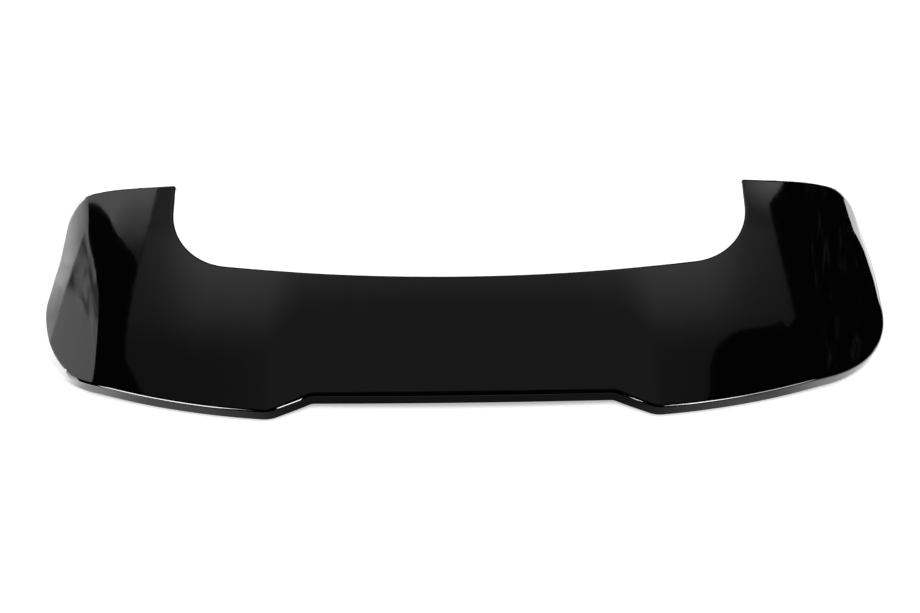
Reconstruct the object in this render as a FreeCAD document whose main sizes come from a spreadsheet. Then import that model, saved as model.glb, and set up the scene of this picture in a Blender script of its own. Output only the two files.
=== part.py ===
import FreeCAD, Part
import math
import os
import Sketcher

doc = FreeCAD.newDocument("roof_spoiler")
vector = FreeCAD.Vector

# Driving sizes in millimetres. The spoiler lies on the lip along its trailing edge, which points
# towards -Y. Its two wings reach forward, towards +Y, and roll down at their outer sides.
sizes = doc.addObject("Spreadsheet::Sheet", "sizes")
driving = [
    ("half_width", 606),
    ("depth", 364),
    ("wall", 3.5),
    ("lip_height", 16.5),
    ("edge_round", 5),
    ("rear_height", 20.6),
    ("rise_per_mm", 0.273),
    ("top_radius", 8300),
    ("crown_radius", 8000),
    ("shoulder_width", 130),
    ("shoulder_drop", 36.5),
    ("shoulder_power", 2.4),
    ("panel_half", 208),
    ("panel_ramp", 60),
    ("panel_dip", 5),
    ("panel_fade_at", 228),
    ("centre_recess", 21),
    ("centre_edge_radius", 6900),
    ("step_angle", 24),
    ("step_inner_round", 20),
    ("step_outer_round", 40),
    ("step_outer_x", 270),
    ("rear_edge_radius", 1020),
    ("rear_corner_radius", 147),
    ("widest_at", 190),
    ("side_radius", 402),
    ("front_corner_radius", 34),
    ("wing_inner_x", 413),
    ("inner_corner_radius", 93),
    ("centre_front_at", 200.5),
    ("centre_front_radius", 2220),
    ("wing_tip_round", 4),
    ("overrun", 30),
]
for row, (alias, value) in enumerate(driving, start=1):
    sizes.set("A%d" % row, alias)
    sizes.set("B%d" % row, str(value))
    sizes.setAlias("B%d" % row, alias)
doc.recompute()


def attach(sketch, body, plane, offset):
    """Put a sketch on one of the body's own origin planes, moved along its normal."""
    origin_plane = [item for item in body.Origin.OriginFeatures if item.Role == plane][0]
    sketch.AttachmentSupport = [(origin_plane, "")]
    sketch.MapMode = "FlatFace"
    sketch.setExpression("AttachmentOffset.Base.z", offset)


def dimension(sketch, kind, where, expression):
    """Add one size to a sketch and tie it to the sheet."""
    value = float(sketch.evalExpression(expression))
    if kind == "Angle":
        value = math.radians(value)
        expression = "(" + expression + ") * 1 deg"
    index = sketch.addConstraint(Sketcher.Constraint(kind, *where, value))
    sketch.setExpression("Constraints[%d]" % index, expression)


def arc(sketch, centre, radius, start_deg, end_deg):
    """Add an arc that runs anticlockwise between two angles."""
    circle = Part.Circle(vector(centre[0], centre[1], 0), vector(0, 0, 1), radius)
    start = math.radians(start_deg)
    return sketch.addGeometry(Part.ArcOfCircle(circle, start, math.radians(end_deg)))


def line(sketch, start, end):
    """Add a straight segment."""
    return sketch.addGeometry(Part.LineSegment(vector(*start, 0), vector(*end, 0)))


# Stations across the width where the skin's section is drawn, from the middle to beyond the tip.
stations = [
    "sizes.panel_half * 0.5",
    "sizes.panel_half - 0.4 * sizes.panel_ramp",
    "sizes.panel_half",
    "sizes.panel_half + 0.25 * sizes.panel_ramp",
    "sizes.panel_half + 0.5 * sizes.panel_ramp",
    "sizes.panel_half + 0.75 * sizes.panel_ramp",
    "sizes.panel_half + sizes.panel_ramp",
    "sizes.panel_half + 1.4 * sizes.panel_ramp",
    "0.57 * sizes.half_width",
    "0.68 * sizes.half_width",
    "sizes.half_width - sizes.shoulder_width",
    "sizes.half_width - 0.72 * sizes.shoulder_width",
    "sizes.half_width - 0.48 * sizes.shoulder_width",
    "sizes.half_width - 0.24 * sizes.shoulder_width",
    "sizes.half_width",
    "sizes.half_width + 0.2 * sizes.shoulder_width",
]
across = ["-(" + place + ")" for place in reversed(stations)] + ["0 * sizes.half_width"] + stations
reach = "(0.5 * sizes.depth + sizes.overrun)"


def skin_height(place, along, sunk):
    """Height of the skin at a station and at a distance from the middle of the depth.

    It climbs forward on a slight curve, has a low crown, rolls down past each shoulder and dips
    a little in the middle panel near the trailing edge.
    """
    from_rear = "(" + along + " + 0.5 * sizes.depth)"
    offside = "abs(" + place + ")"
    past = "max(0; (" + offside + " - sizes.half_width) / sizes.shoulder_width + 1)"
    slope = "min(1; max(0; 1 - (" + offside + " - sizes.panel_half) / sizes.panel_ramp))"
    ramp = slope + "^2 * (3 - 2 * " + slope + ")"
    fade = "(1 - " + from_rear + " / sizes.panel_fade_at)"
    height = "sizes.rear_height + sizes.rise_per_mm * " + from_rear
    height += " - " + from_rear + "^2 / (2 * sizes.top_radius)"
    height += " - " + offside + "^2 / (2 * sizes.crown_radius)"
    height += " - sizes.shoulder_drop * " + past + "^sizes.shoulder_power"
    height += " - sizes.panel_dip * " + ramp + " * " + fade
    return height + " - " + sunk


def skin_block(body, name, sunk, thickness):
    """Loft a block whose top is the spoiler's skin lowered by one value."""
    sketches = []
    for number, place in enumerate(across):
        sketch = body.newObject("Sketcher::SketchObject", "%s_section_%d" % (name, number))
        attach(sketch, body, "YZ_Plane", place)
        rear_top = skin_height(place, "-" + reach, sunk)
        front_top = skin_height(place, reach, sunk)
        y_end = float(sketch.evalExpression(reach))
        z_rear = float(sketch.evalExpression(rear_top))
        z_front = float(sketch.evalExpression(front_top))
        middle = skin_height(place, "0 * sizes.depth", sunk)
        z_middle = float(sketch.evalExpression(middle))
        top = sketch.addGeometry(Part.Arc(
            vector(y_end, z_front, 0), vector(0, z_middle, 0), vector(-y_end, z_rear, 0)))
        deep_rear = rear_top + " - " + thickness
        deep_front = front_top + " - " + thickness
        low_rear = float(sketch.evalExpression(deep_rear))
        low_front = float(sketch.evalExpression(deep_front))
        low_middle = z_middle + low_rear - z_rear
        back = line(sketch, (-y_end, z_rear), (-y_end, low_rear))
        under = sketch.addGeometry(Part.Arc(
            vector(y_end, low_front, 0), vector(0, low_middle, 0), vector(-y_end, low_rear, 0)))
        front = line(sketch, (y_end, low_front), (y_end, z_front))
        sketch.addConstraint(Sketcher.Constraint("Coincident", top, 2, back, 1))
        sketch.addConstraint(Sketcher.Constraint("Coincident", back, 2, under, 2))
        sketch.addConstraint(Sketcher.Constraint("Coincident", under, 1, front, 1))
        sketch.addConstraint(Sketcher.Constraint("Coincident", front, 2, top, 1))
        sketch.addConstraint(Sketcher.Constraint("Vertical", back))
        sketch.addConstraint(Sketcher.Constraint("Vertical", front))
        sketch.addConstraint(Sketcher.Constraint("Equal", top, under))
        dimension(sketch, "DistanceX", (top, 2), "-" + reach)
        dimension(sketch, "DistanceY", (top, 2), rear_top)
        dimension(sketch, "DistanceX", (top, 1), reach)
        dimension(sketch, "DistanceY", (top, 1), front_top)
        dimension(sketch, "Radius", (top,), "sizes.top_radius")
        dimension(sketch, "DistanceY", (under, 2), deep_rear)
        dimension(sketch, "DistanceY", (under, 1), deep_front)
        sketches.append(sketch)
    doc.recompute()
    block = body.newObject("PartDesign::AdditiveLoft", name + "_block")
    block.Profile = sketches[0]
    block.Sections = sketches[1:]
    doc.recompute()


def join(sketch, first, second, kind="Tangent"):
    """Join the end of one segment to the start of the next, smoothly unless told otherwise."""
    sketch.addConstraint(Sketcher.Constraint(kind, *first, *second))


def cut_both_sides(body, sketch, name):
    """Cut one half's outline down through the block, then the same on the other side."""
    doc.recompute()
    pocket = body.newObject("PartDesign::Pocket", name)
    pocket.Profile = sketch
    pocket.Type = "ThroughAll"
    doc.recompute()
    mirror = body.newObject("PartDesign::Mirrored", name + "_mirrored")
    mirror.Originals = [pocket]
    middle_plane = [item for item in body.Origin.OriginFeatures if item.Role == "YZ_Plane"][0]
    mirror.MirrorPlane = (middle_plane, [""])
    body.Tip = mirror
    doc.recompute()


def cut_rear_outline(body, name, inset):
    """Cut the trailing edge and the outer side, moved inwards by one value."""
    sketch = body.newObject("Sketcher::SketchObject", name + "_outline")
    attach(sketch, body, "XY_Plane", "sizes.depth")
    inward = " - " + inset
    half = 0.5 * float(sizes.depth)

    # The nearly straight middle stretch, the step at its end, the wing's long trailing curve, its
    # outer corner and its side. They are drawn roughly in place, and the sizes below set them.
    centre_edge = arc(sketch, (0, 6921 - half), 6900, 270, 271.66)
    step_in = arc(sketch, (203.5, 4 - half), 20, 66, 88.3)
    step = line(sketch, (211.6, 22.3 - half), (253.7, 3.5 - half))
    step_out = arc(sketch, (270, 40 - half), 40, 246, 275.6)
    trailing = arc(sketch, (175, 1015 - half), 1020, 275.6, 289)
    corner = arc(sketch, (459, 190 - half), 147, 289, 360)
    side = arc(sketch, (204, 190 - half), 402, 0, 31.5)
    join(sketch, (centre_edge, 2), (step_in, 2))
    join(sketch, (step_in, 1), (step, 1))
    join(sketch, (step, 2), (step_out, 1))
    join(sketch, (step_out, 2), (trailing, 1))
    join(sketch, (trailing, 2), (corner, 1))
    join(sketch, (corner, 2), (side, 1))

    # Waste outside the outline.
    ahead = line(sketch, (547, 400 - half), (696, 400 - half))
    outside = line(sketch, (696, 400 - half), (696, -90 - half))
    behind = line(sketch, (696, -90 - half), (0, -90 - half))
    middle = line(sketch, (0, -90 - half), (0, 21 - half))
    join(sketch, (side, 2), (ahead, 1), "Coincident")
    join(sketch, (ahead, 2), (outside, 1), "Coincident")
    join(sketch, (outside, 2), (behind, 1), "Coincident")
    join(sketch, (behind, 2), (middle, 1), "Coincident")
    join(sketch, (middle, 2), (centre_edge, 1), "Coincident")
    sketch.addConstraint(Sketcher.Constraint("Horizontal", ahead))
    sketch.addConstraint(Sketcher.Constraint("Vertical", outside))
    sketch.addConstraint(Sketcher.Constraint("Horizontal", behind))
    sketch.addConstraint(Sketcher.Constraint("PointOnObject", middle, 1, -2))
    sketch.addConstraint(Sketcher.Constraint("PointOnObject", middle, 2, -2))
    sketch.addConstraint(Sketcher.Constraint("PointOnObject", centre_edge, 3, -2))
    sketch.addConstraint(Sketcher.Constraint("Horizontal", corner, 3, corner, 2))

    dimension(sketch, "Radius", (centre_edge,), "sizes.centre_edge_radius" + inward)
    dimension(sketch, "Radius", (step_in,), "sizes.step_inner_round + " + inset)
    dimension(sketch, "Radius", (step_out,), "sizes.step_outer_round" + inward)
    dimension(sketch, "Radius", (trailing,), "sizes.rear_edge_radius" + inward)
    dimension(sketch, "Radius", (corner,), "sizes.rear_corner_radius" + inward)
    dimension(sketch, "Radius", (side,), "sizes.side_radius" + inward)
    dimension(sketch, "DistanceY", (centre_edge, 1), "sizes.centre_recess + " + inset + " - sizes.depth / 2")
    dimension(sketch, "Angle", (step,), "-sizes.step_angle")
    dimension(sketch, "DistanceX", (step_out, 3), "sizes.step_outer_x")
    dimension(sketch, "DistanceY", (step_out, 3), "sizes.step_outer_round - sizes.depth / 2")
    dimension(sketch, "DistanceX", (corner, 3), "sizes.half_width - sizes.rear_corner_radius")
    dimension(sketch, "DistanceY", (corner, 3), "sizes.widest_at - sizes.depth / 2")
    dimension(sketch, "DistanceY", (ahead, 1), "sizes.depth / 2 + 1.2 * sizes.overrun")
    dimension(sketch, "DistanceX", (outside, 1), "sizes.half_width + 3 * sizes.overrun")
    dimension(sketch, "DistanceY", (behind, 1), "-sizes.depth / 2 - 3 * sizes.overrun")
    cut_both_sides(body, sketch, name)


def cut_front_outline(body, name):
    """Cut the edge that meets the roof: the middle bay, the wing's inner edge and its blunt front."""
    sketch = body.newObject("Sketcher::SketchObject", name + "_outline")
    attach(sketch, body, "XY_Plane", "sizes.depth")
    half = 0.5 * float(sizes.depth)

    # The shallow bay between the wings, its corner, the wing's inner edge, its front and the outer
    # corner. They are drawn roughly in place, and the sizes below set them.
    bay = arc(sketch, (0, 2420.5 - half), 2220, 270, 278.65)
    inner_corner = arc(sketch, (320, 318 - half), 93, 278.65, 360)
    inner_edge = line(sketch, (413, 318 - half), (413, 360 - half))
    tip_round = arc(sketch, (417, 360 - half), 4, 90, 180)
    front_edge = line(sketch, (417, 364 - half), (544, 364 - half))
    front_corner = arc(sketch, (544, 330 - half), 34, 22.4, 90)
    join(sketch, (bay, 2), (inner_corner, 1))
    join(sketch, (inner_corner, 2), (inner_edge, 1))
    join(sketch, (inner_edge, 2), (tip_round, 2))
    join(sketch, (tip_round, 1), (front_edge, 1))
    join(sketch, (front_edge, 2), (front_corner, 2))

    # Waste ahead of the outline. The corner runs smoothly into the side's own curve.
    side = arc(sketch, (204, 190 - half), 402, 0, 22.4)
    sketch.setConstruction(side, True)
    join(sketch, (side, 2), (front_corner, 1))
    leave = line(sketch, (576, 343 - half), (696, 343 - half))
    outside = line(sketch, (696, 343 - half), (696, 454 - half))
    ahead = line(sketch, (696, 454 - half), (0, 454 - half))
    middle = line(sketch, (0, 454 - half), (0, 200.5 - half))
    join(sketch, (front_corner, 1), (leave, 1), "Coincident")
    join(sketch, (leave, 2), (outside, 1), "Coincident")
    join(sketch, (outside, 2), (ahead, 1), "Coincident")
    join(sketch, (ahead, 2), (middle, 1), "Coincident")
    join(sketch, (middle, 2), (bay, 1), "Coincident")
    sketch.addConstraint(Sketcher.Constraint("Horizontal", leave))
    sketch.addConstraint(Sketcher.Constraint("Vertical", outside))
    sketch.addConstraint(Sketcher.Constraint("Horizontal", ahead))
    sketch.addConstraint(Sketcher.Constraint("PointOnObject", middle, 1, -2))
    sketch.addConstraint(Sketcher.Constraint("PointOnObject", middle, 2, -2))
    sketch.addConstraint(Sketcher.Constraint("PointOnObject", bay, 3, -2))
    sketch.addConstraint(Sketcher.Constraint("Vertical", inner_edge))
    sketch.addConstraint(Sketcher.Constraint("Horizontal", front_edge))
    sketch.addConstraint(Sketcher.Constraint("Horizontal", side, 3, side, 1))

    dimension(sketch, "Radius", (bay,), "sizes.centre_front_radius")
    dimension(sketch, "DistanceY", (bay, 1), "sizes.centre_front_at - sizes.depth / 2")
    dimension(sketch, "Radius", (inner_corner,), "sizes.inner_corner_radius")
    dimension(sketch, "DistanceX", (inner_edge, 1), "sizes.wing_inner_x")
    dimension(sketch, "Radius", (tip_round,), "sizes.wing_tip_round")
    dimension(sketch, "DistanceY", (front_edge, 1), "sizes.depth / 2")
    dimension(sketch, "Radius", (front_corner,), "sizes.front_corner_radius")
    dimension(sketch, "Radius", (side,), "sizes.side_radius")
    dimension(sketch, "DistanceX", (side, 3), "sizes.half_width - sizes.side_radius")
    dimension(sketch, "DistanceY", (side, 3), "sizes.widest_at - sizes.depth / 2")
    dimension(sketch, "DistanceX", (outside, 1), "sizes.half_width + 3 * sizes.overrun")
    dimension(sketch, "DistanceY", (ahead, 1), "sizes.depth / 2 + 3 * sizes.overrun")
    cut_both_sides(body, sketch, name)


# Outer form: the skin's block, cut to the trailing edge, rounded along it, then cut at the front
# and trimmed flat where it touches the ground.
form = doc.addObject("PartDesign::Body", "outer_form")
skin_block(form, "skin", "0 * sizes.wall", "sizes.lip_height")
cut_rear_outline(form, "rear_cut", "0 * sizes.wall")
cut_form = form.Tip
cut_shape = cut_form.Shape
skins = sorted(cut_shape.Faces, key=lambda face: face.Area)[-2:]
top_skin = max(skins, key=lambda face: face.CenterOfMass.z)
front_limit = float(sizes.depth) / 2 + 0.9 * float(sizes.overrun)
rim = []
for number, edge in enumerate(cut_shape.Edges, start=1):
    on_top = any(edge.isSame(other) for other in top_skin.Edges)
    if on_top and edge.CenterOfMass.y < front_limit:
        rim.append("Edge%d" % number)
rounding = form.newObject("PartDesign::Fillet", "rim_round")
rounding.Base = (cut_form, rim)
rounding.setExpression("Radius", "sizes.edge_round")
form.Tip = rounding
doc.recompute()
cut_front_outline(form, "front_cut")
ground = form.newObject("Sketcher::SketchObject", "ground_outline")
attach(ground, form, "XY_Plane", "0 * sizes.depth")
slab = [(-696, -272), (696, -272), (696, 272), (-696, 272)]
sides = []
for index in range(4):
    sides.append(line(ground, slab[index], slab[(index + 1) % 4]))
for index in range(4):
    join(ground, (sides[index], 2), (sides[(index + 1) % 4], 1), "Coincident")
ground.addConstraint(Sketcher.Constraint("Horizontal", sides[0]))
ground.addConstraint(Sketcher.Constraint("Vertical", sides[1]))
ground.addConstraint(Sketcher.Constraint("Symmetric", sides[0], 1, sides[2], 1, -1, 1))
dimension(ground, "DistanceX", (sides[0], 1, sides[0], 2), "2 * sizes.half_width + 6 * sizes.overrun")
dimension(ground, "DistanceY", (sides[1], 1, sides[1], 2), "sizes.depth + 6 * sizes.overrun")
doc.recompute()
trim = form.newObject("PartDesign::Pocket", "ground_trim")
trim.Profile = ground
trim.Type = "ThroughAll"
form.Tip = trim
doc.recompute()

# Hollow: the same skin lowered by the wall, inside the same trailing edge moved in by the wall.
hollow = doc.addObject("PartDesign::Body", "hollow")
skin_block(hollow, "under", "sizes.wall", "4 * sizes.lip_height")
cut_rear_outline(hollow, "lip_cut", "sizes.wall")

# The spoiler is one moulded shell, open underneath and along its front edge.
shell = doc.addObject("Part::Cut", "spoiler_shell")
shell.Base = form
shell.Tool = hollow
doc.recompute()

for item in doc.Objects:
    if "Invalid" in item.State or "Error" in item.State:
        raise RuntimeError("%s did not build: %s" % (item.Name, item.State))
if shell.Shape.isNull() or not shell.Shape.isValid() or len(shell.Shape.Solids) != 1:
    raise RuntimeError("the shell is not one valid solid")
os.makedirs("parts", exist_ok=True)
shell.Shape.exportStep("parts/spoiler_shell.step")
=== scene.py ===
import math

import bmesh
import bpy
import numpy as np
from mathutils import Matrix, Vector


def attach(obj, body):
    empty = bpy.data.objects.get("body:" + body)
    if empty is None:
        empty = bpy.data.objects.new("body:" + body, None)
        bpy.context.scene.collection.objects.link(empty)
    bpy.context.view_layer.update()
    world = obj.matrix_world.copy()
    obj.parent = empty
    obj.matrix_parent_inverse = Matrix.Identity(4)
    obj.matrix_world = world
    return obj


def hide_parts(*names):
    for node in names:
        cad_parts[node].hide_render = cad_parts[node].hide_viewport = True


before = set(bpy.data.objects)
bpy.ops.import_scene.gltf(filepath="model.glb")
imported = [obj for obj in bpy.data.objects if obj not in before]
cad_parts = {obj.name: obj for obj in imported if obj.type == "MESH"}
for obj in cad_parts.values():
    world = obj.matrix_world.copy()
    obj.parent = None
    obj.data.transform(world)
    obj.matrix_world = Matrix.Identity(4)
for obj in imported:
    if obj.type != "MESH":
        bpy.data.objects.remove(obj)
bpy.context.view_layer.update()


# The spoiler is one moulding of black ABS, about 1.2 m wide: a thin skin that caps the rear edge of
# a car's roof, with two wings that reach forward and a lip turned down along its trailing edge.
# The sheet is formed over a polished mould and trimmed, so it has one even wall and no joints.
half_width = 0.606
depth = 0.364
rear = -depth / 2
wall = 0.0035
lip_height = 0.0165

# The skin: how high it starts, how it climbs and curves, its rolled shoulders and its middle panel.
rear_height = 0.0206
climb = 0.273
top_radius = 8.3
crown_radius = 8.0
shoulder_width = 0.130
shoulder_drop = 0.0365
shoulder_power = 2.4
panel_half = 0.208
panel_ramp = 0.060
panel_dip = 0.005
panel_fade_at = 0.228

# The trailing edge and the side in plan.
recess = 0.021
middle_radius = 6.9
step_slant = 24
step_inner_round = 0.020
step_outer_round = 0.040
step_outer_x = 0.270
long_radius = 1.020
corner_radius = 0.147
widest_at = 0.190
side_radius = 0.402
front_corner_radius = 0.034

# The front edge in plan.
bay_at = 0.2005
bay_radius = 2.22
bay_corner_radius = 0.093
wing_inner_x = 0.413

# Rounds: along the rim, along the rim of the rolled side, over the front edges, and where cut.
rim_radius = 0.005
side_rim_radius = 0.020
front_roll = 0.0045
front_ease = 0.0010
cut_ease = 0.0004


def smooth(share):
    """A change from 0 to 1 that starts and ends gently."""
    return share * share * (3 - 2 * share)


def skin_height(x, y):
    """Height of the outer skin at a place in plan."""
    side = np.abs(x)
    back = y - rear
    past_shoulder = np.maximum(0, (side - half_width) / shoulder_width + 1)
    in_panel = np.clip(1 - (side - panel_half) / panel_ramp, 0, 1)
    dip = panel_dip * smooth(in_panel) * (1 - back / panel_fade_at)
    rise = rear_height + climb * back - back ** 2 / (2 * top_radius)
    crown = side ** 2 / (2 * crown_radius)
    return rise - crown - shoulder_drop * past_shoulder ** shoulder_power - dip


def skin_slope(x, y):
    """How fast the skin climbs along X and along Y."""
    step = 0.0004
    along_x = (skin_height(x + step, y) - skin_height(x - step, y)) / (2 * step)
    along_y = (skin_height(x, y + step) - skin_height(x, y - step)) / (2 * step)
    return along_x, along_y


arc_points = 200


def arc_run(centre, radius, start_deg, end_deg, hollow=False):
    """Points along an arc in plan, each with the direction that faces out of the sheet."""
    turn = np.radians(np.linspace(start_deg, end_deg, arc_points))
    out = np.stack([np.cos(turn), np.sin(turn)], axis=1)
    return np.asarray(centre) + radius * out, -out if hollow else out


def heading(start, end):
    """Direction from one point in plan to another, in degrees from +X."""
    across, ahead = end - start
    return math.degrees(math.atan2(ahead, across)) % 360


def chain(runs):
    """Join runs end to end and measure the length along them."""
    points = np.concatenate([run[0] for run in runs])
    outward = np.concatenate([run[1] for run in runs])
    length = np.concatenate([[0], np.cumsum(np.linalg.norm(np.diff(points, axis=0), axis=1))])
    return points, outward, length


def along(edge, places):
    """Points and outward directions at given lengths along a chain."""
    points, outward, length = edge
    there = np.stack([np.interp(places, length, points[:, axis]) for axis in (0, 1)], axis=1)
    facing = np.stack([np.interp(places, length, outward[:, axis]) for axis in (0, 1)], axis=1)
    return there, facing / np.linalg.norm(facing, axis=1)[:, None]


# Trailing edge of the right half, from the middle outwards: a nearly straight stretch, a slanted
# step, the wing's long curve, its outer corner and its side.
middle_centre = np.array([0, rear + recess + middle_radius])
step_centre = np.array([step_outer_x, rear + step_outer_round])
corner_centre = np.array([half_width - corner_radius, rear + widest_at])
side_centre = np.array([half_width - side_radius, rear + widest_at])
step_turn = math.radians(step_slant)
step_along = np.array([math.cos(step_turn), -math.sin(step_turn)])
step_out = np.array([-math.sin(step_turn), -math.cos(step_turn)])

# The small hollow round at the step's inner end touches the middle stretch and the step.
base = step_centre + (step_outer_round + step_inner_round) * step_out - middle_centre
reach = base @ step_along
apart = math.sqrt(reach ** 2 - base @ base + (middle_radius + step_inner_round) ** 2)
inner_centre = middle_centre + base + step_along * (apart - reach)
middle_end = heading(middle_centre, inner_centre)

# The long curve touches the step's outer round and the outer corner.
to_step = long_radius - step_outer_round
to_corner = long_radius - corner_radius
between = corner_centre - step_centre
gap = np.linalg.norm(between)
forward = (to_step ** 2 - to_corner ** 2 + gap ** 2) / (2 * gap)
sideways = math.sqrt(to_step ** 2 - forward ** 2)
unit = between / gap
curve_centre = step_centre + forward * unit + sideways * np.array([-unit[1], unit[0]])
curve_start = heading(curve_centre, step_centre)
curve_end = heading(curve_centre, corner_centre)

# The front corner's round runs into the side's own curve.
front_y = -rear - front_corner_radius
to_round = side_radius - front_corner_radius
round_x = side_centre[0] + math.sqrt(to_round ** 2 - (front_y - side_centre[1]) ** 2)
front_round = np.array([round_x, front_y])
side_end = heading(side_centre, front_round)
step_straight = np.stack([inner_centre - step_inner_round * step_out,
                          step_centre + step_outer_round * step_out])
rear_edge = chain([
    arc_run(middle_centre, middle_radius, 270, middle_end),
    arc_run(inner_centre, step_inner_round, middle_end - 180, 90 - step_slant, hollow=True),
    (step_straight, np.stack([step_out, step_out])),
    arc_run(step_centre, step_outer_round, 270 - step_slant, curve_start),
    arc_run(curve_centre, long_radius, curve_start, curve_end),
    arc_run(corner_centre, corner_radius, curve_end, 360),
    arc_run(side_centre, side_radius, 0, side_end),
])

# Front edge of the right half: the shallow bay, its corner and the wing's inner edge.
bay_centre = np.array([0, rear + bay_at + bay_radius])
bay_corner_x = wing_inner_x - bay_corner_radius
to_bay_corner = bay_radius - bay_corner_radius
bay_corner_y = bay_centre[1] - math.sqrt(to_bay_corner ** 2 - bay_corner_x ** 2)
bay_corner = np.array([bay_corner_x, bay_corner_y])
bay_end = heading(bay_centre, bay_corner)
inner_edge = np.array([[wing_inner_x, bay_corner_y], [wing_inner_x, -rear]])
front_edge = chain([
    arc_run(bay_centre, bay_radius, 270, bay_end, hollow=True),
    arc_run(bay_corner, bay_corner_radius, bay_end, 360, hollow=True),
    (inner_edge, np.array([[-1.0, 0], [-1.0, 0]])),
])

# Columns of the sheet stand close together at the step and at the front corner, and wider apart
# elsewhere. Each runs from the trailing edge to the stretch of the front edge across from it.
step_from, step_to = 0.185, 0.290
rear_length = rear_edge[2][-1]
corner_from = rear_length - 0.012
columns = np.concatenate([
    np.linspace(0, step_from, 46, endpoint=False),
    np.linspace(step_from, step_to, 84, endpoint=False),
    np.linspace(step_to, corner_from, 132, endpoint=False),
    np.linspace(corner_from, rear_length, 10),
])
rear_points, rear_out = along(rear_edge, columns)
across_from_bay_end = (0.507, -0.131)
widest = rear_edge[2][np.argmax(rear_edge[0][:, 0])]
corner_at = rear_edge[2][np.argmin(np.linalg.norm(rear_edge[0] - across_from_bay_end, axis=1))]
front_marks = [front_edge[2][mark] for mark in (0, arc_points - 1, 2 * arc_points - 1, -1)]
front_places = np.interp(columns, [0, corner_at, widest, rear_length], front_marks)
front_points, front_out = along(front_edge, front_places)

# The rim's round opens where the side rolls under, as far as the height above the ground allows,
# and closes again at the front corner. It leaves the skin where both have the same slope.
edge_height = skin_height(rear_points[:, 0], rear_points[:, 1])
lip_foot = np.maximum(edge_height - lip_height, 0)
rolling = np.clip((rear_out[:, 0] - 0.80) / 0.17, 0, 1)
rolling = np.minimum(rolling, (rear_length - columns) / 0.06)
rim_round = rim_radius + (side_rim_radius - rim_radius) * smooth(rolling)
room_below = (edge_height - lip_foot - 0.002) / 0.55
rim_round = np.minimum(rim_round, np.maximum(rim_radius, room_below))
tilt = np.zeros(len(columns))
for _ in range(8):
    leave = rear_points - rear_out * (rim_round * (1 - np.sin(tilt)))[:, None]
    slope_x, slope_y = skin_slope(leave[:, 0], leave[:, 1])
    tilt = np.arctan(-(slope_x * rear_out[:, 0] + slope_y * rear_out[:, 1]))
rim_centre = skin_height(leave[:, 0], leave[:, 1]) - rim_round * np.cos(tilt)

# The wing's blunt front closes the sheet: a straight edge, then the rounded corner.
blunt_line = np.array([[wing_inner_x, -rear], [front_round[0], -rear]])
blunt = chain([
    (blunt_line, np.array([[0, 1.0], [0, 1.0]])),
    arc_run(front_round, front_corner_radius, 90, side_end),
])

# Rows run from the lip's foot, up the lip and over the rim, then across the skin to the front edge.
lip_rows = 4
rim_rows = 9
skin_rows = np.concatenate([np.linspace(0, 0.96, 46, endpoint=False), np.linspace(0.96, 1, 10)])
rows = []
for row in range(lip_rows):
    height = lip_foot + (rim_centre - lip_foot) * row / lip_rows
    rows.append(np.column_stack([rear_points, height]))
for row in range(rim_rows):
    turn = math.pi / 2 + (tilt - math.pi / 2) * row / rim_rows
    plan = rear_points - rear_out * (rim_round * (1 - np.sin(turn)))[:, None]
    rows.append(np.column_stack([plan, rim_centre + rim_round * np.cos(turn)]))
closing_length = 0.17
closing = smooth(np.clip((columns - rear_length) / closing_length + 1, 0, 1))
roll_width = front_roll * math.sin(math.radians(62))
for share in skin_rows:
    plan = leave + (front_points - leave) * share
    on_front, front_facing = along(blunt, [(1 - share) * blunt[2][-1]])
    on_front = on_front[0] + (leave[-1] - blunt[0][-1]) * (1 - share)
    plan = plan + closing[:, None] * (on_front - plan[-1])
    # The last 4 mm before the front edges roll over. The wing's inner corner is rounded as far.
    to_bay = np.maximum(0, 1 - np.sum((front_points - plan) * front_out, axis=1) / roll_width)
    to_front = np.maximum(0, 1 - (on_front - plan) @ front_facing[0] / roll_width)
    to_front = to_front * np.clip((share - 0.03) / 0.2, 0, 1)
    round_bay = to_bay * np.sqrt(1 - 0.4 * to_front ** 2)
    round_front = to_front * np.sqrt(1 - 0.4 * to_bay ** 2)
    plan = plan - roll_width * ((to_bay - round_bay)[:, None] * front_out
                                + (to_front - round_front)[:, None] * front_facing)
    over = np.minimum(np.hypot(round_bay, round_front), 1) * roll_width
    drop = front_roll - np.sqrt(front_roll ** 2 - over ** 2)
    rows.append(np.column_stack([plan, skin_height(plan[:, 0], plan[:, 1]) - drop]))
rows = np.stack(rows)
mirrored = rows[:, :0:-1] * np.array([-1, 1, 1])
sheet = np.concatenate([mirrored, rows], axis=1)

# A flat grid is drawn out into that sheet, given its wall and eased along its cut edges.
row_steps, column_steps = sheet.shape[0] - 1, sheet.shape[1] - 1
shell_mesh = bmesh.new()
bmesh.ops.create_grid(shell_mesh, x_segments=column_steps, y_segments=row_steps, size=1)
for vertex in shell_mesh.verts:
    column = round((vertex.co.x + 1) / 2 * column_steps)
    row = round((vertex.co.y + 1) / 2 * row_steps)
    vertex.co = sheet[row, column]
shell_mesh.normal_update()
open_rim = [edge for edge in shell_mesh.edges if edge.is_boundary]
front_rim = [edge for edge in open_rim if max(vertex.co.z for vertex in edge.verts) > 0.03]
bmesh.ops.solidify(shell_mesh, geom=shell_mesh.faces[:], thickness=wall)
shell_mesh.normal_update()
bmesh.ops.bevel(shell_mesh, geom=front_rim, offset=front_ease, segments=3, profile=0.5,
                affect="EDGES", material=-1)
shell_mesh.normal_update()
cut_edges = [edge for edge in shell_mesh.edges if edge.is_manifold and edge.calc_face_angle() > 0.9]
bmesh.ops.bevel(shell_mesh, geom=cut_edges, offset=cut_ease, segments=2, profile=0.5,
                affect="EDGES", material=-1)
for face in shell_mesh.faces:
    face.smooth = True
shell_data = bpy.data.meshes.new("spoiler_shell")
shell_mesh.to_mesh(shell_data)
shell_mesh.free()
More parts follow.
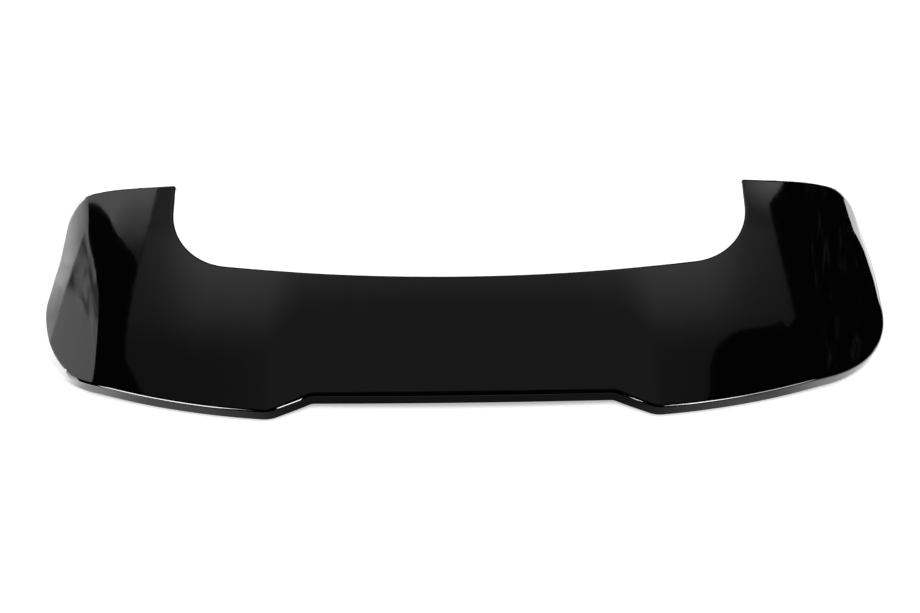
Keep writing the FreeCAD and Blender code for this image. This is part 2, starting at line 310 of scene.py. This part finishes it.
spoiler = bpy.data.objects.new("spoiler_skin", shell_data)
bpy.context.collection.objects.link(spoiler)
shading = spoiler.modifiers.new("even_shading", "WEIGHTED_NORMAL")
shading.weight = 60


def linear(hex_colour):
    """An sRGB hex colour as linear red, green and blue, with full alpha."""
    values = [int(hex_colour[place:place + 2], 16) / 255 for place in (1, 3, 5)]
    return [v / 12.92 if v <= 0.04045 else ((v + 0.055) / 1.055) ** 2.4 for v in values] + [1]


def add_node(tree, kind, settings=None, links=None):
    """Add a node, set its sockets and properties, and link other nodes' outputs into it."""
    node = tree.nodes.new(kind)
    for name, value in (settings or {}).items():
        if isinstance(name, int) or name in node.inputs:
            node.inputs[name].default_value = value
        else:
            setattr(node, name, value)
    for name, output in (links or {}).items():
        tree.links.new(output, node.inputs[name])
    return node


def graded(tree, source, start, end, low, high, kind="LINEAR"):
    """A level that changes from low to high between two places, and stays the same outside them."""
    settings = {"interpolation_type": kind, "From Min": start, "From Max": end,
                "To Min": low, "To Max": high}
    return add_node(tree, "ShaderNodeMapRange", settings, {"Value": source}).outputs["Result"]


# Polished black ABS: the pigment swallows nearly all light, so what shows is the clear reflection
# of the room. The mould leaves a faint long waviness and the polish varies a little.
gloss_black = bpy.data.materials.new("polished_black_abs")
gloss_black.use_nodes = True
tree = gloss_black.node_tree
tree.nodes.clear()
wave_length, wave_height = 0.045, 0.00006
polish_size = 0.012
place = add_node(tree, "ShaderNodeTexCoord")
waviness = add_node(tree, "ShaderNodeTexNoise",
                    {"Scale": 1 / wave_length, "Detail": 1.0, "Roughness": 0.4},
                    {"Vector": place.outputs["Object"]})
ripple = add_node(tree, "ShaderNodeBump", {"Strength": 1.0, "Distance": wave_height},
                  {"Height": waviness.outputs["Fac"]})
polish = add_node(tree, "ShaderNodeTexNoise",
                  {"Scale": 1 / polish_size, "Detail": 4.0, "Roughness": 0.6},
                  {"Vector": place.outputs["Object"]})
roughness = graded(tree, polish.outputs["Fac"], 0.3, 0.7, 0.02, 0.05)
plastic = add_node(tree, "ShaderNodeBsdfPrincipled", {"Base Color": linear("#040404"), "IOR": 1.5},
                   {"Roughness": roughness, "Normal": ripple.outputs["Normal"]})
add_node(tree, "ShaderNodeOutputMaterial", links={"Surface": plastic.outputs["BSDF"]})
shell_data.materials.append(gloss_black)
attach(spoiler, "root")
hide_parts("spoiler_shell")


# The floor is a seamless white sheet of paper. It keeps the soft shadow under the lip.
floor_mesh = bmesh.new()
bmesh.ops.create_grid(floor_mesh, x_segments=1, y_segments=1, size=12)
floor_data = bpy.data.meshes.new("floor")
floor_mesh.to_mesh(floor_data)
floor_mesh.free()
floor = bpy.data.objects.new("floor", floor_data)
bpy.context.collection.objects.link(floor)


def combined(tree, kind, first, second):
    """The sum, difference or product of two levels."""
    return add_node(tree, "ShaderNodeMath", {"operation": kind}, {0: first, 1: second}).outputs[0]


def seen_rays(tree):
    """1 for rays from the camera, a reflection or a clear body, and 0 for rays that carry light."""
    ray = add_node(tree, "ShaderNodeLightPath")
    seen = add_node(tree, "ShaderNodeMath", {"operation": "ADD", "use_clamp": True},
                    {0: ray.outputs["Is Camera Ray"], 1: ray.outputs["Is Glossy Ray"]})
    seen = add_node(tree, "ShaderNodeMath", {"operation": "ADD", "use_clamp": True},
                    {0: seen.outputs[0], 1: ray.outputs["Is Transmission Ray"]})
    return seen.outputs[0]


def position(tree):
    """The place on a piece, whole and split into its three axes."""
    spot = add_node(tree, "ShaderNodeTexCoord").outputs["Object"]
    return spot, add_node(tree, "ShaderNodeSeparateXYZ", links={0: spot}).outputs


def off_centre(tree, source, centre=0.0):
    """Distance to either side of a place."""
    moved = add_node(tree, "ShaderNodeMath", {"operation": "SUBTRACT", 1: centre}, {0: source})
    apart = add_node(tree, "ShaderNodeMath", {"operation": "ABSOLUTE"}, {0: moved.outputs[0]})
    return apart.outputs[0]


# White paper. Reflections see a painted glow in its place, not the lit paper: a painted brightness
# beside the tips, most of all on the left, a painted shade close to the middle of the lip, and the
# glow fades away from the part.
white_paper = bpy.data.materials.new("white_studio_paper")
white_paper.use_nodes = True
tree = white_paper.node_tree
tree.nodes.clear()
lift = add_node(tree, "ShaderNodeMath", {"operation": "MULTIPLY", 1: 0.46}, {0: seen_rays(tree)})
paper = add_node(tree, "ShaderNodeBsdfPrincipled",
                 {"Base Color": linear("#f4f4f4"), "Roughness": 0.9, "Specular IOR Level": 0.0,
                  "Emission Color": linear("#ffffff")},
                 {"Emission Strength": lift.outputs[0]})
spot, axis = position(tree)
off_middle = off_centre(tree, axis["X"])
# Painted reflection: the glow that reflections see, brighter beside the tips and past the left tip.
beside = graded(tree, off_middle, 0.43, 0.53, 1.0, 3.0, "SMOOTHSTEP")
past_left = graded(tree, axis["X"], -0.53, -0.60, 0.0, 9.0)
along_lip = graded(tree, off_middle, 0.20, 0.42, 0.88, 0.0, "SMOOTHSTEP")
near_lip = graded(tree, off_centre(tree, axis["Y"], -0.19), 0.05, 0.12, 1.0, 0.0, "SMOOTHSTEP")
# Painted shade: the glow dims in a strip in front of the middle of the lip.
painted_lip_shade = combined(tree, "MULTIPLY", along_lip, near_lip)
painted_floor_glow = combined(tree, "SUBTRACT", combined(tree, "ADD", beside, past_left), painted_lip_shade)
away = add_node(tree, "ShaderNodeVectorMath", {"operation": "LENGTH"}, {0: spot})
lit = graded(tree, away.outputs["Value"], 0.95, 1.7, 1.0, 0.04, "SMOOTHSTEP")
painted_floor_glow = combined(tree, "MULTIPLY", painted_floor_glow, lit)
painted_glow_shader = add_node(tree, "ShaderNodeEmission", {"Color": linear("#ffffff")}, {"Strength": painted_floor_glow})
ray = add_node(tree, "ShaderNodeLightPath")
paper_and_painted_glow = add_node(tree, "ShaderNodeMixShader", links={
    0: ray.outputs["Is Glossy Ray"], 1: paper.outputs["BSDF"], 2: painted_glow_shader.outputs["Emission"]})
add_node(tree, "ShaderNodeOutputMaterial", links={"Surface": paper_and_painted_glow.outputs["Shader"]})
floor_data.materials.append(white_paper)


# The studio around it is dark, with a dim panel overhead, a cloth hanging at the left, a nearly
# black curtain at the right, low white cards close to the tips and lamps behind the camera.
# The gloss shows them as soft grey areas with dark bands between.
# The cloth, the curtain and the white cards are no lamps, yet they glow: their brightness is
# painted light.
def studio_card(name, corners, material):
    """A flat card from its corners, which only reflections see."""
    card_mesh = bmesh.new()
    card_mesh.faces.new([card_mesh.verts.new(corner) for corner in corners])
    card_data = bpy.data.meshes.new(name)
    card_mesh.to_mesh(card_data)
    card_mesh.free()
    card = bpy.data.objects.new(name, card_data)
    bpy.context.collection.objects.link(card)
    card_data.materials.append(material)
    card.visible_camera = False
    card.visible_diffuse = False
    card.visible_shadow = False


def glow_material(name, level):
    """A material that only shines: at one level, or by a pattern that a function adds."""
    material = bpy.data.materials.new(name)
    material.use_nodes = True
    tree = material.node_tree
    tree.nodes.clear()
    if callable(level):
        shine = add_node(tree, "ShaderNodeEmission", links={"Strength": level(tree)})
    else:
        shine = add_node(tree, "ShaderNodeEmission", {"Strength": level})
    add_node(tree, "ShaderNodeOutputMaterial", links={"Surface": shine.outputs["Emission"]})
    return material


def ceiling_pattern(tree):
    """Dim all over, with a brighter pool of light towards the front on each side."""
    spot, axis = position(tree)
    off_middle = off_centre(tree, axis["X"])
    flat = add_node(tree, "ShaderNodeCombineXYZ", links={"X": off_middle, "Y": axis["Y"]})
    far = add_node(tree, "ShaderNodeVectorMath", {"operation": "DISTANCE", 1: (0.736, 0.90, 0)},
                   {0: flat.outputs["Vector"]})
    pool = graded(tree, far.outputs["Value"], 0.587, 0.0, 0.0, 0.83, "SMOOTHERSTEP")
    for fade in (graded(tree, off_middle, 0.825, 1.01, 1.0, 0.42, "SMOOTHSTEP"),
                 graded(tree, axis["Y"], 0.83, 0.89, 1.0, 0.61, "SMOOTHSTEP")):
        pool = combined(tree, "MULTIPLY", pool, fade)
    dim = graded(tree, off_middle, 0.45, 0.85, 0.215, 0.122, "SMOOTHSTEP")
    rise = combined(tree, "MULTIPLY", graded(tree, axis["Y"], 0.461, 0.551, 0.0, 0.153),
                    graded(tree, off_middle, 0.20, 0.75, 1.0, 0.3, "SMOOTHSTEP"))
    beyond = add_node(tree, "ShaderNodeVectorMath", {"operation": "DISTANCE", 1: (1.09, 1.06, 2.2)},
                      {0: spot})
    corner = graded(tree, beyond.outputs["Value"], 0.17, 0.0, 0.0, 1.5, "SMOOTHSTEP")
    total = dim
    for part in (pool, rise, corner):
        total = combined(tree, "ADD", total, part)
    return total


def front_pattern(tree):
    """Brighter towards the front."""
    return graded(tree, position(tree)[1]["Y"], 0.80, 1.02, 0.2, 1.55)


# The panel overhead and the brighter one at its left front meet along a seam.
seam = [(-1.048, 0.755), (-1.042, 0.777), (-1.04, 0.798), (-1.034, 0.82), (-1.031, 0.842),
        (-1.026, 0.87), (-1.017, 0.905), (-1.011, 0.94), (-1.003, 0.985), (-0.995, 1.03),
        (-0.98, 2.0)]
studio_card("ceiling_panel", [(x, y, 2.2) for x, y in (
    (-1.02, 0.15), (0.81, 0.15), (0.825, 0.28), (0.83, 0.35), (0.845, 0.40), (0.865, 0.435),
    (0.90, 0.465), (0.95, 0.485), (1.0, 0.495), (1.05, 0.505), (1.085, 0.52), (1.10, 0.505),
    (1.125, 0.535), (1.125, 0.56), (1.105, 0.68), (1.085, 0.80), (1.065, 0.95), (1.085, 0.985),
    (1.10, 1.0), (1.125, 1.04), (1.13, 2.0), *reversed(seam), (-1.075, 0.60), (-1.09, 0.45),
    (-1.085, 0.41), (-1.055, 0.36), (-1.03, 0.30))],
    glow_material("ceiling_light", ceiling_pattern))
studio_card("left_front_panel", [(x, y, 2.19) for x, y in (
    *seam, (-2.9, 2.0), (-2.9, 1.63), (-2.154, 1.30), (-1.607, 1.06), (-1.278, 0.90),
    (-1.187, 0.865), (-1.132, 0.84), (-1.095, 0.82), (-1.078, 0.803), (-1.067, 0.787),
    (-1.059, 0.771))],
    glow_material("front_light", front_pattern))


def painted_crease_light(tree, spot, stretch, size, detail, roughness, distortion=0.0):
    """Painted light and shade of a hanging cloth's creases, drawn out along their height."""
    squeezed = add_node(tree, "ShaderNodeVectorMath", {"operation": "MULTIPLY", 1: (1, 1, stretch)},
                        {0: spot})
    return add_node(tree, "ShaderNodeTexNoise",
                    {"Scale": 1 / size, "Detail": detail, "Roughness": roughness,
                     "Distortion": distortion},
                    {"Vector": squeezed.outputs["Vector"]}).outputs["Fac"]


def cloth_pattern(tree):
    """Painted light on a hanging cloth: smooth at its rear, painted lit and shaded folds at its
    front, and painted brighter below a slanted fold.
    """
    spot, axis = position(tree)
    crease_light = painted_crease_light(tree, spot, 0.16, 0.11, 2.0, 0.55, 0.4)
    painted_folds = graded(tree, crease_light, 0.36, 0.66, 0.5, 2.2)
    front = graded(tree, axis["Y"], 0.72, 0.78, 0.0, 1.0, "SMOOTHSTEP")
    upper = add_node(tree, "ShaderNodeMix", {"A": 1.8}, {"Factor": front, "B": painted_folds})
    slant = add_node(tree, "ShaderNodeMath", {"operation": "MULTIPLY_ADD", 1: 2.2, 2: -0.584},
                     {0: axis["Y"]})
    below = combined(tree, "SUBTRACT", slant.outputs[0], axis["Z"])
    lower = graded(tree, below, -0.03, 0.05, 0.0, 1.0, "SMOOTHSTEP")
    bright = graded(tree, axis["Z"], 1.65, 0.95, 2.0, 6.0)
    for change in (graded(tree, crease_light, 0.3, 0.7, 0.8, 1.2),
                   graded(tree, axis["Y"], 0.67, 0.79, 0.55, 1.0)):
        bright = combined(tree, "MULTIPLY", bright, change)
    return add_node(tree, "ShaderNodeMix", links={
        "Factor": lower, "A": upper.outputs["Result"], "B": bright}).outputs["Result"]


def curtain_pattern(tree):
    """A nearly black curtain with faint upright streaks of painted light."""
    painted_streaks = painted_crease_light(tree, position(tree)[0], 0.2, 0.09, 3.0, 0.6)
    return graded(tree, painted_streaks, 0.54, 0.74, 0.0, 0.12)


studio_card("left_cloth", [(-2.0, y, z) for y, z in (
    (1.35, 0.30), (1.35, 1.42), (1.10, 1.42), (1.16, 1.55), (1.12, 1.66), (1.02, 1.80),
    (1.005, 1.90), (1.0, 2.50), (0.975, 2.80), (0.93, 2.93), (0.80, 2.98), (0.685, 2.96),
    (0.60, 2.88), (0.40, 2.75), (0.40, 0.30))],
    glow_material("cloth_light", cloth_pattern))
studio_card("right_curtain", [(2.1, y, z) for y, z in (
    (-0.2, 0.9), (1.8, 0.9), (1.8, 3.4), (-0.2, 3.4))],
    glow_material("curtain_light", curtain_pattern))

# A low white card stands close to each tip and glows with painted light, which shows along the
# tip's outer edge. Two small ones glow the same way along the left corner's rim.
bright_light = glow_material("bright_light", 18.0)
studio_card("left_low_card", [(-0.8, y, z) for y, z in (
    (-0.01, 0.0), (0.60, 0.0), (0.60, 0.328), (0.337, 0.328), (0.317, 0.277), (0.302, 0.249),
    (0.288, 0.227), (0.275, 0.211), (0.263, 0.201), (0.239, 0.189), (0.216, 0.176), (0.193, 0.161),
    (0.171, 0.14), (0.149, 0.123), (0.128, 0.105), (0.118, 0.098), (0.107, 0.095), (0.096, 0.095),
    (0.085, 0.098), (0.074, 0.102), (0.063, 0.109), (0.051, 0.118), (0.04, 0.132), (0.029, 0.15),
    (0.018, 0.175), (0.008, 0.209), (-0.003, 0.257))], bright_light)
studio_card("left_corner_card", [(-0.66, y, z) for y, z in (
    (-0.15, 0.0), (-0.03, 0.0), (-0.04, 0.03), (-0.046, 0.06), (-0.052, 0.09), (-0.054, 0.118),
    (-0.075, 0.105), (-0.10, 0.085), (-0.125, 0.05), (-0.145, 0.015))], bright_light)
studio_card("left_rim_card", [(-0.66, y, z) for y, z in (
    (-0.15, 0.0), (-0.145, 0.015), (-0.125, 0.05), (-0.10, 0.085), (-0.075, 0.105), (-0.057, 0.118),
    (-0.059, 0.128), (-0.062, 0.138), (-0.065, 0.152), (-0.072, 0.16), (-0.095, 0.152),
    (-0.125, 0.125), (-0.158, 0.095), (-0.185, 0.05), (-0.195, 0.0))],
    glow_material("rim_card_light", 8.0))
studio_card("right_low_card", [(0.8, y, z) for y, z in (
    (0.107, 0.0), (0.60, 0.0), (0.60, 0.23), (0.343, 0.233), (0.298, 0.224), (0.271, 0.204),
    (0.241, 0.179), (0.219, 0.148), (0.199, 0.122), (0.165, 0.091), (0.136, 0.062))],
    glow_material("right_card_light", 8.5))

# The lamps draw the thin bright line along the rim.
lamp_y = -3.0
strong_light = glow_material("strong_lamp_light", 30.0)
weak_light = glow_material("weak_lamp_light", 16.0)
for name, left, right, low, high, light in (
        ("left_lamp", -3.5, -1.6, 1.8, 4.3, strong_light),
        ("right_lamp", 1.48, 2.1, 1.8, 4.3, strong_light),
        ("far_right_lamp", 2.1, 3.2, 2.0, 3.8, weak_light)):
    studio_card(name, [(x, lamp_y, z) for x, z in (
        (left, low), (right, low), (right, high), (left, high))], light)

# Black drapes close the room all round.
drape = bpy.data.materials.new("black_drape")
drape.use_nodes = True
tree = drape.node_tree
tree.nodes.clear()
cloth = add_node(tree, "ShaderNodeBsdfDiffuse", {"Color": linear("#000000")})
add_node(tree, "ShaderNodeOutputMaterial", links={"Surface": cloth.outputs["BSDF"]})
room_mesh = bmesh.new()
bmesh.ops.create_uvsphere(room_mesh, u_segments=48, v_segments=24, radius=7)
bmesh.ops.bisect_plane(room_mesh, geom=room_mesh.verts[:] + room_mesh.edges[:] + room_mesh.faces[:],
                       plane_co=(0, 0, 0.02), plane_no=(0, 0, -1), clear_outer=True)
room_data = bpy.data.meshes.new("room")
room_mesh.to_mesh(room_data)
room_mesh.free()
room = bpy.data.objects.new("room", room_data)
bpy.context.collection.objects.link(room)
room_data.materials.append(drape)
room.visible_camera = False
room.visible_diffuse = False
room.visible_shadow = False
room.visible_transmission = False

# One broad soft light from above and slightly ahead, so the shadow lies close along the lip.
key_data = bpy.data.lights.new("overhead_light", "SUN")
key_data.energy = 2.05
key_data.angle = math.radians(35)
key = bpy.data.objects.new("overhead_light", key_data)
key.location = (0.0, 0.5, 2.5)
key.rotation_euler = (-key.location).to_track_quat("-Z", "Y").to_euler()
key.visible_glossy = False
bpy.context.collection.objects.link(key)

# The world is white where it is seen and gives only a little light.
studio = bpy.data.worlds.new("studio")
bpy.context.scene.world = studio
studio.use_nodes = True
tree = studio.node_tree
tree.nodes.clear()
strength = graded(tree, seen_rays(tree), 0.0, 1.0, 0.12, 1.0)
sky = add_node(tree, "ShaderNodeBackground", {"Color": linear("#ffffff")}, {"Strength": strength})
add_node(tree, "ShaderNodeOutputWorld", links={"Surface": sky.outputs["Background"]})

# The camera stands behind the trailing edge and looks down at it.
elevation = math.radians(46.46)
azimuth = math.radians(-0.7325)
roll = math.radians(-0.155)
half_view = math.radians(14.0126)
distance = 2.6106
target = Vector((-0.0015, -0.0068, 0.035))
back = Vector((math.sin(azimuth) * math.cos(elevation), -math.cos(azimuth) * math.cos(elevation),
               math.sin(elevation)))
right = Vector((math.cos(azimuth), math.sin(azimuth), 0))
up = back.cross(right)
turned_right = right * math.cos(roll) + up * math.sin(roll)
turned_up = up * math.cos(roll) - right * math.sin(roll)
camera_data = bpy.data.cameras.new("camera")
camera_data.sensor_width = 36
camera_data.lens = camera_data.sensor_width / 2 / math.tan(half_view)
camera = bpy.data.objects.new("camera", camera_data)
turned = Matrix((turned_right, turned_up, back)).transposed().to_4x4()
camera.matrix_world = Matrix.Translation(target + back * distance) @ turned
bpy.context.collection.objects.link(camera)
bpy.context.scene.camera = camera
bpy.context.scene.view_settings.view_transform = "Standard"
